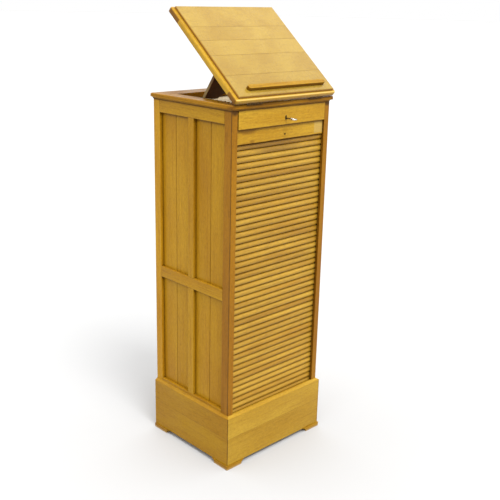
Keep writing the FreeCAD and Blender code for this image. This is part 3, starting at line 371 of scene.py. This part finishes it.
def aged_metal(name, bright, dull, grime, roughness):
    n = Nodes(name)
    place = n.add("TexCoord").outputs["Object"]
    patches = n.noise(place, 160, detail=4, rough=0.65)
    specks = n.noise(place, 900, detail=3, rough=0.6)
    scratch = n.noise(n.vector("MULTIPLY", place, Vector((0.08, 1, 1))), 2200, detail=2)
    metal = n.mix(n.spread(patches, 0.35, 0.68), bright, dull)
    metal = n.mix(n.math("MULTIPLY", n.spread(specks, 0.55, 0.72), 0.6), metal, grime)
    corner = n.add("AmbientOcclusion", {"Distance": 2.5 * MM}, samples=6).outputs["AO"]
    metal = n.mix(n.math("MULTIPLY", n.spread(corner, 0.75, 0.25), 0.8), metal, grime)
    rough = n.spread(patches, 0.3, 0.7, roughness, roughness + 0.22)
    relief = n.bump(n.math("ADD", specks, n.math("MULTIPLY", scratch, 0.5)), 0.05 * MM, 0.5)
    return n.surface(metal, rough, relief, Metallic=1.0)


def canvas_cloth(name):
    n = Nodes(name)
    place = n.add("Attribute", attribute_name="rest_place").outputs["Vector"]
    parts = n.add("SeparateXYZ", {0: place}).outputs
    threads = 1.1 * MM
    warp = n.math("SINE", n.math("MULTIPLY", parts[0], math.tau / threads))
    weft = n.math("SINE", n.math("MULTIPLY", parts[2], math.tau / threads))
    weave = n.math("MULTIPLY", warp, weft)
    slub = n.noise(n.vector("MULTIPLY", place, Vector((0.1, 1, 1))), 700, detail=3)
    soil = n.noise(place, 18, detail=4)
    cloth = n.mix(n.spread(weave, -0.8, 0.9), colour(98, 78, 50), colour(150, 126, 88))
    cloth = n.mix(n.math("MULTIPLY", n.spread(slub, 0.45, 0.7), 0.35), cloth, colour(168, 146, 108))
    cloth = n.mix(n.math("MULTIPLY", n.spread(soil, 0.45, 0.75), 0.5), cloth, colour(74, 56, 34))
    relief = n.bump(n.math("ADD", weave, slub), 0.25 * MM, 0.8)
    return n.surface(cloth, n.spread(slub, 0.2, 0.8, 0.8, 0.95), relief, Sheen_Weight=0.25,
                     Specular_IOR_Level=0.2)


# ---------------------------------------------------------------- CAD nodes: eased edges and finishes

def shading_group():
    """Joins the imported faces and drops their stored normals, so that later modifiers see real edges."""
    group = bpy.data.node_groups.new("joined_faces", "GeometryNodeTree")
    group.interface.new_socket("Geometry", in_out="INPUT", socket_type="NodeSocketGeometry")
    group.interface.new_socket("Geometry", in_out="OUTPUT", socket_type="NodeSocketGeometry")
    start = group.nodes.new("NodeGroupInput")
    merge = group.nodes.new("GeometryNodeMergeByDistance")
    merge.inputs["Distance"].default_value = 0.005 * MM
    forget = group.nodes.new("GeometryNodeRemoveAttribute")
    forget.inputs["Name"].default_value = "custom_normal"
    smooth = group.nodes.new("GeometryNodeSetShadeSmooth")
    end = group.nodes.new("NodeGroupOutput")
    for first, second in ((start, merge), (merge, forget), (forget, smooth), (smooth, end)):
        group.links.new(first.outputs[0], second.inputs[0])
    return group


JOINED = shading_group()


def ease_edges(obj, width, segments=2):
    """Small rounds on a CAD node's edges, with flat faces kept flat in the shading."""
    join = obj.modifiers.new("joined", "NODES")
    join.node_group = JOINED
    flat = obj.modifiers.new("flat_faces", "DECIMATE")
    flat.decimate_type = "DISSOLVE"
    flat.angle_limit = math.radians(0.4)
    if width:
        bevel = obj.modifiers.new("eased", "BEVEL")
        bevel.width = width
        bevel.segments = segments
        bevel.limit_method = "ANGLE"
        bevel.angle_limit = math.radians(40)
        bevel.use_clamp_overlap = True
        bevel.harden_normals = False
    normals = obj.modifiers.new("normals", "WEIGHTED_NORMAL")
    normals.weight = 60
    normals.keep_sharp = False


def finish_node(node, material, width, segments=2):
    obj = frame["nodes"][node]
    obj.data.materials.clear()
    obj.data.materials.append(material)
    ease_edges(obj, width, segments)


def tone_near(middle, reach):
    return draw.uniform(middle - reach, middle + reach)


def finish_wood():
    """One finish for each board, so that grain and tone change from piece to piece."""
    case_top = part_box("lock_rail")[1].z
    case_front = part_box("left_front_stile")[0].y
    # under_top is a painted shadow line under the top's moulding, on the stiles, rails and lock rail below it
    under_top = ("z", case_top, 3.2 * MM, 0.85)
    for side in ("left", "right"):
        shoulders = [("y", at, 1.1 * MM, 0.6) for at in SIDE_SHOULDERS]
        corner = [("y", case_front + 3.8 * MM, 2.4 * MM, 0.9), under_top]
        low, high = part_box(f"{side}_front_stile")
        # each front post is darker at its top, under the top's corner
        dark_post_top = [((low.x + 9 * MM, low.y, high.z - 2 * MM), (16 * MM, 9 * MM, 15 * MM),
                   colour(48, 26, 6), 0.8)]
        for part, along, tone, joints in (
                ("front_stile", "z", 1.0, corner), ("back_stile", "z", 1.24, [under_top]),
                ("top_rail", "y", 1.03, shoulders + [under_top]), ("mid_rail", "y", 1.06, shoulders),
                ("bottom_rail", "y", 1.0, shoulders), ("muntins", "z", 1.03, ())):
            node = f"{side}_{part}"
            post = part == "front_stile"
            finish_node(node, oak("oak_" + node, "edge" if post else "side", along, tone_near(tone, 0.02),
                                  lines=joints, spots=dark_post_top if post else (), figure=0.7), 0.9 * MM)
        for part in ("upper_panels", "lower_panels"):
            node = f"{side}_{part}"
            joints = [("y", at, 1.7 * MM, 0.55) for at in SIDE_JOINTS]
            split = [((0, -60 * MM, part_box(node)[1].z - 12 * MM), (1, 3 * MM, 10 * MM),
                      colour(60, 36, 8), 0.8)]
            finish_node(node, oak("oak_" + node, "side", "z", tone_near(1.06, 0.01), planks=SIDE_BOARDS,
                                  lines=joints, spots=split if node == "left_lower_panels" else (),
                                  figure=0.5, contrast=0.35), 0)
    finish_node("back_rails", oak("oak_back_rails", "side", "x", 0.96), 0.9 * MM)
    finish_node("back_panels", oak("oak_back_panels", "umber", "z", 1.25, planks=("x", 93 * MM, 0)), 0)
    low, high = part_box("lock_rail")
    rail_low = low.z
    # lock rail: painted shadow along its bottom edge and in the gaps at its ends beside the posts
    finish_node("lock_rail", oak("oak_lock_rail", "golden", "x", 1.04, figure=0.7, lines=[
        under_top, ("z", low.z, 1.6 * MM, 0.7), ("x", low.x, 2.4 * MM, 0.7),
        ("x", high.x, 2.4 * MM, 0.7)]), 0.6 * MM)
    finish_node("sill_rail", oak("oak_sill_rail", "golden", "x", 0.95), 0.6 * MM)
    low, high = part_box("lead_rail")
    grime = colour(92, 54, 12)
    stains = [((low.x + 52 * MM, low.y, rail_low - 7 * MM), (42 * MM, 20 * MM, 13 * MM), grime, 0.62),
              ((low.x + 70 * MM, low.y, low.z + 6 * MM), (18 * MM, 20 * MM, 7 * MM), grime, 0.5),
              ((15 * MM, low.y, 1065 * MM), (5 * MM, 20 * MM, 3.6 * MM), colour(34, 18, 6), 0.95)]
    mend = ((high.x - 47 * MM, low.y - 5 * MM, low.z + 4 * MM), (high.x + 5 * MM, high.y, high.z + 5 * MM),
            colour(176, 156, 104), 0.34)
    # lead rail: painted shadow under the lock rail along its top, and a painted shadow line along its bottom
    # edge
    finish_node("lead_rail", oak("oak_lead_rail", "golden", "x", 1.0, spots=stains, patches=[mend],
                                 figure=0.7, lines=[("z", rail_low, 4.5 * MM, 0.9),
                                                    ("z", low.z, 2.6 * MM, 0.95)]), 1.2 * MM, 3)
    split = ("z", 94 * MM, 14 * MM)
    for part, along in (("front", "x"), ("left", "y"), ("right", "y")):
        low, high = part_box("plinth_" + part)
        joint = [("z", PLINTH_JOINT, 0.9 * MM, 0.55)]
        if part == "front":
            joint += [("x", low.x, 3 * MM, 0.85), ("x", high.x, 3 * MM, 0.85)]
        else:
            joint += [("y", low.y, 3 * MM, 0.85)]
        palette, tone = ("plinth", 0.98) if part == "front" else ("side", 0.90)
        finish_node("plinth_" + part, oak("oak_plinth_" + part, palette, along, tone, planks=split,
                                          lines=joint, contrast=0.25, figure=0.6), 0.7 * MM)
    low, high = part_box("foot_blocks")
    scuffed = ((low.x - 1, low.y - 1, low.z - 5 * MM), (high.x + 1, high.y + 1, low.z + 7 * MM),
               colour(168, 138, 90), 0.6)
    finish_node("foot_blocks", oak("oak_foot_blocks", "side", "x", 0.90, patches=[scuffed]), 0.8 * MM)
    low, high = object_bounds()
    handled = [((across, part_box("top_front")[0].y + 4 * MM, case_top + 8 * MM), (26 * MM, 22 * MM, 13 * MM),
                colour(84, 48, 14), 0.6) for across in (low.x, high.x)]
    # the long band along the top's front edge is painted shadow under the slope's nose and hinge
    handled.append(((-60 * MM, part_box("top_front")[0].y, case_top + 12 * MM), (120 * MM, 16 * MM, 5 * MM),
                    colour(84, 48, 14), 0.5))
    # painted shade along the lower edge of the top's moulding
    for part, along in (("top_front", "x"), ("top_back", "x"), ("top_left", "y"), ("top_right", "y")):
        finish_node(part, oak("oak_" + part, "rim", along, 1.05, gloss=0.40, coat=0.0, shine=0.12,
                              spots=handled, lines=[("z", case_top, 2.6 * MM, 0.85)]), 0.4 * MM)
    # the well floor and racks are very pale
    finish_node("well_floor", oak("oak_well_floor", "very_pale", "x", 1.0, gloss=0.6, short=3, painted_shade_amount=0.4), 0)
    finish_node("well_lining", oak("oak_well_lining", "umber", "x", 1.0, gloss=0.5), 0.4 * MM)
    for part in ("rack_left", "rack_right"):
        finish_node(part, oak("oak_" + part, "very_pale", "y", 0.8, gloss=0.6), 0.3 * MM)
    for part in ("cupboard_floor", "shelf_1", "shelf_2", "shelf_3", "shelf_4", "shelf_cleats"):
        finish_node(part, oak("oak_" + part, "umber", "x", tone_near(1.5, 0.1), gloss=0.5), 0.5 * MM)
    finish_node("false_back", oak("oak_false_back", "umber", "z", 1.4, gloss=0.5), 0)
    finish_slope()
    # painted light: the prop's edge faces are paler, fading out upwards
    finish_node("prop_board", oak("oak_prop_board", "stained", "x", 1.0,
                                  faces=[("x", colour(136, 118, 76), 0.75, (1.235, 1.185))]), 0.8 * MM)


def finish_slope():
    """The slope's own coordinates are used here: y along it, z out of its face."""
    pin = JOINTS["slope_tilt"]["pos_m"]
    pin_along = pin[1] * math.cos(SLOPE_TILT) + pin[2] * math.sin(SLOPE_TILT)
    pin_out = pin[2] * math.cos(SLOPE_TILT) - pin[1] * math.sin(SLOPE_TILT)
    frame_low = pin_out + SLOPE_CLEAR
    frame_top = frame_low + SLOPE_FRAME
    board_top = frame_top + SLOPE_BOARD
    # below paints shade on the lower half of the slope's front rail, the nose's underside
    below = ("z", frame_low, 9 * MM, 0.85)
    # painted highlight along the upper rounding of the slope's nose
    nose_highlight = ((-1, pin_along - 1 * MM, frame_top - 4 * MM), (1, pin_along + 6 * MM, frame_top + 2 * MM),
            colour(240, 206, 122), 0.55)
    for part, along in (("slope_front_rail", "x"), ("slope_back_rail", "x"), ("slope_left_stile", "y"),
                        ("slope_right_stile", "y")):
        front, rail = part == "slope_front_rail", along == "x"
        finish_node(part, oak("oak_" + part, "golden", along, 0.97 if rail else 0.90, tilt=SLOPE_TILT,
                              lines=[below] if front else (), patches=[nose_highlight] if front else (), gloss=0.22,
                              coat=0.1, shine=0.2, figure=0.6,
                              faces=[("x", colour(100, 62, 14), 0.9, None)] if rail else ()), 0.2 * MM)
    near, far = (pin_along + end for end in SLOPE_BOARD_ENDS)
    joints = [near + (far - near) * share for share in SLOPE_BOARD_JOINTS]
    # painted shade where the raised boards meet the frame
    edges = [("z", frame_top + 2.8 * MM, 1.8 * MM, 0.95)]   # clear of the boards' underside
    # the boards' ends are darker end grain; their front edges get painted shade
    end_grain_and_shade = colour(138, 92, 34)
    finish_node("slope_boards", oak("oak_slope_boards", "slope", "x", 1.0, seams=("y", joints),
                                    tilt=SLOPE_TILT,
                                    lines=[("y", at, 1.1 * MM, 0.42) for at in joints] + edges, figure=0.5,
                                    short=3.5, contrast=0.35, coat=0.25, gloss=0.30,
                                    faces=[("x", end_grain_and_shade, 0.75, None), ("y", end_grain_and_shade, 0.8, None)]), 0.3 * MM)
    # book ledge: painted shade at its foot on the boards and on its front face; its ends are darker end grain
    finish_node("book_ledge", oak("oak_book_ledge", "golden", "x", 0.84, tilt=SLOPE_TILT, coat=0.0, shine=0.1,
                                  lines=[("z", board_top, 3 * MM, 0.9)],
                                  faces=[(axis, colour(98, 62, 8), 0.85, None) for axis in "xy"]),
                1.2 * MM, 3)


def finish_metal():
    brass = aged_metal("aged_brass", colour(176, 146, 84), colour(128, 98, 50), colour(52, 38, 20), 0.30)
    bronze = aged_metal("dark_bronze", colour(96, 74, 44), colour(62, 44, 26), colour(24, 16, 10), 0.40)
    steel = aged_metal("aged_steel", colour(150, 146, 138), colour(104, 100, 94), colour(44, 38, 32), 0.32)
    nickel = aged_metal("worn_nickel", colour(206, 202, 192), colour(158, 152, 140), colour(70, 58, 44), 0.24)
    finish_node("keyhole_eyelet", brass, 0.15 * MM)
    for node in ("slope_hinge_fixed_leaves", "slope_hinge_moving_leaves", "prop_hinge_slope_leaves",
                 "prop_hinge_leaves"):
        finish_node(node, bronze, 0.15 * MM)
    for node in ("slope_hinge_pins", "prop_hinge_pins", "lock_case", "lock_bolt"):
        finish_node(node, steel, 0.15 * MM)
    finish_node("key", nickel, 0)


# ---------------------------------------------------------------- the curtain

def link(name, mesh):
    obj = bpy.data.objects.new(name, mesh)
    bpy.context.scene.collection.objects.link(obj)
    return obj


def carry(mesh, name, kind, values):
    """Stores a value for each vertex."""
    attribute = mesh.attributes.new(name, kind, "POINT")
    attribute.data.foreach_set("value" if kind == "FLOAT" else "vector", values)


def curtain_squash(piece):
    """Hangs the piece on the tambour body, with a mesh of its own."""
    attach(piece, "tambour")
    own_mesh(piece)


def make_slats():
    """Half-round slats, each a little different in depth, height and set."""
    low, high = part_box("tambour_slats")
    count = round((high.z - low.z + SLAT_GAP) / SLAT_PITCH)
    across, round_steps = 26, 12
    deep = high.y - low.y
    vertices, faces, boards, grooves = [], [], [], []
    for slat in range(count):
        top = high.z - SLAT_PITCH * slat
        bottom = top - (SLAT_PITCH - SLAT_GAP)
        crest = deep - draw.uniform(0, 0.35) * MM
        set_back = draw.uniform(0, 0.12) * MM
        slack = draw.uniform(0.02, 0.22) * MM
        waves = [(draw.uniform(0, math.tau), draw.uniform(0.4, 1.6)) for _ in range(3)]
        first = len(vertices)
        for column in range(across + 1):
            share = column / across
            x = low.x + (high.x - low.x) * share
            wave = sum(math.sin(phase + share * rate * math.tau) for phase, rate in waves) / 3
            depth = crest - 0.10 * MM * (1 + wave)
            middle = (top + bottom) / 2 + 0.05 * MM * wave
            half = (top - bottom) / 2 - slack / 2
            radius = (half * half + depth * depth) / (2 * depth)
            opening = math.asin(min(1, half / radius))
            for step in range(round_steps + 1):
                angle = -opening + 2 * opening * step / round_steps
                y = high.y - set_back - depth + radius * (1 - math.cos(angle))
                vertices.append((x, min(y, high.y), middle + radius * math.sin(angle)))
                boards.append(float(slat))
                grooves.append(2 * step / round_steps - 1)
        row = round_steps + 1
        for column in range(across):
            for step in range(round_steps):
                a = first + column * row + step
                faces.append((a, a + row, a + row + 1, a + 1))
            a = first + column * row
            faces.append((a + round_steps, a + row + round_steps, a + row, a))
        faces.append(tuple(first + step for step in range(row)))
        last = first + across * row
        faces.append(tuple(last + step for step in reversed(range(row))))
    mesh = bpy.data.meshes.new("tambour_slat_set")
    mesh.from_pydata(vertices, [], faces)
    mesh.validate()
    mesh.shade_smooth()
    mesh.set_sharp_from_angle(angle=math.radians(40))
    carry(mesh, "rest_place", "FLOAT_VECTOR", [value for vertex in vertices for value in vertex])
    carry(mesh, "board", "FLOAT", boards)
    carry(mesh, "groove", "FLOAT", grooves)
    piece = link("tambour_slat_set", mesh)
    # the first slats under the lead rail: painted shadow cast by the rail, with some dirt
    stain_and_painted_light = ((-50 * MM, low.y, high.z - 12 * MM), (170 * MM, 100 * MM, 24 * MM), colour(92, 58, 16), 0.5)
    mesh.materials.append(oak("oak_slats", "worn", "x", 1.0, attribute=True, figure=0.7, contrast=0.8,
                              shine=0.35, lines=[("z", high.z, 4.5 * MM, 0.85)], spots=[stain_and_painted_light]))
    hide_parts("tambour_slats")
    curtain_squash(piece)
    return piece


def make_canvas():
    """The canvas glued behind the slats: one closed sheet that dips a little between the slats."""
    low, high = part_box("tambour_canvas")
    columns, rows = 12, SLAT_COUNT * 4
    vertices, faces = [], []
    for layer in range(2):
        for row in range(rows + 1):
            z = low.z + (high.z - low.z) * row / rows
            dip = 0.5 - 0.5 * math.cos(math.tau * (high.z - z) / SLAT_PITCH)
            for column in range(columns + 1):
                x = low.x + (high.x - low.x) * column / columns
                y = high.y - 0.15 * MM * (1 - dip) if layer else low.y + 0.05 * MM * dip
                vertices.append((x, y, z))
    wide = columns + 1
    layer_size = wide * (rows + 1)
    for row in range(rows):
        for column in range(columns):
            a = row * wide + column
            faces.append((a, a + 1, a + wide + 1, a + wide))
            b = a + layer_size
            faces.append((b + wide, b + wide + 1, b + 1, b))
    rim = ([column for column in range(columns)] + [row * wide + columns for row in range(rows)]
           + [rows * wide + column for column in range(columns, 0, -1)]
           + [row * wide for row in range(rows, 0, -1)])
    for index, a in enumerate(rim):
        b = rim[(index + 1) % len(rim)]
        faces.append((b, a, a + layer_size, b + layer_size))
    mesh = bpy.data.meshes.new("tambour_canvas_sheet")
    mesh.from_pydata(vertices, [], faces)
    mesh.validate()
    mesh.shade_smooth()
    mesh.set_sharp_from_angle(angle=math.radians(50))
    carry(mesh, "rest_place", "FLOAT_VECTOR", [value for vertex in vertices for value in vertex])
    piece = link("tambour_canvas_sheet", mesh)
    mesh.materials.append(canvas_cloth("canvas_cloth"))
    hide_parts("tambour_canvas")
    curtain_squash(piece)


# ---------------------------------------------------------------- stage and light

def plain_material(name, shade):
    n = Nodes(name)
    place = n.add("TexCoord").outputs["Object"]
    cloud = n.noise(place, 0.7, detail=2)
    base = n.mix(n.spread(cloud, 0.2, 0.8), shade, tuple(0.985 * value for value in shade[:3]) + (1,))
    relief = n.bump(n.noise(place, 400, detail=2), 0.1 * MM, 0.1)
    return n.surface(base, n.spread(cloud, 0.2, 0.8, 0.85, 0.95), relief, Specular_IOR_Level=0.1)


def make_stage():
    steps, reach = 96, 60
    vertices = [(reach * math.cos(math.tau * step / steps), reach * math.sin(math.tau * step / steps), 0)
                for step in range(steps)]
    mesh = bpy.data.meshes.new("floor")
    mesh.from_pydata(vertices, [], [tuple(range(steps))])
    floor = link("floor", mesh)
    mesh.materials.append(plain_material("floor_pale", (FLOOR_GREY, FLOOR_GREY, FLOOR_GREY, 1)))
    floor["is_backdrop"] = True
    world = bpy.data.worlds.new("studio")
    world.use_nodes = True
    tree = world.node_tree
    place = tree.nodes.new("ShaderNodeTexCoord")
    parts = tree.nodes.new("ShaderNodeSeparateXYZ")
    rise = tree.nodes.new("ShaderNodeMapRange")
    rise.inputs["To Min"].default_value = SKY_LEVEL
    rise.inputs["To Max"].default_value = SKY_OVERHEAD
    tree.links.new(place.outputs["Generated"], parts.inputs[0])
    tree.links.new(parts.outputs[2], rise.inputs["Value"])
    tree.links.new(rise.outputs[0], tree.nodes["Background"].inputs["Strength"])
    tree.nodes["Background"].inputs["Color"].default_value = (1, 1, 1, 1)
    bpy.context.scene.world = world
    bpy.context.scene.view_settings.view_transform = "Standard"


def lamp(name, kind, energy, aim_from, aim_at=(0, 0, 0.7), **settings):
    data = bpy.data.lights.new(name, kind)
    data.energy = energy
    for setting, value in settings.items():
        setattr(data, setting, value)
    obj = bpy.data.objects.new(name, data)
    obj.location = aim_from
    obj.rotation_mode = "QUATERNION"
    obj.rotation_quaternion = (Vector(aim_at) - Vector(aim_from)).to_track_quat("-Z", "Y")
    bpy.context.scene.collection.objects.link(obj)


def make_lights():
    lamp("key", "SUN", SUN_STRENGTH, SUN_FROM, angle=SUN_SPREAD)


# ---------------------------------------------------------------- making

place_camera()
make_stage()
make_lights()
finish_wood()
finish_metal()
slat_piece = make_slats()
make_canvas()
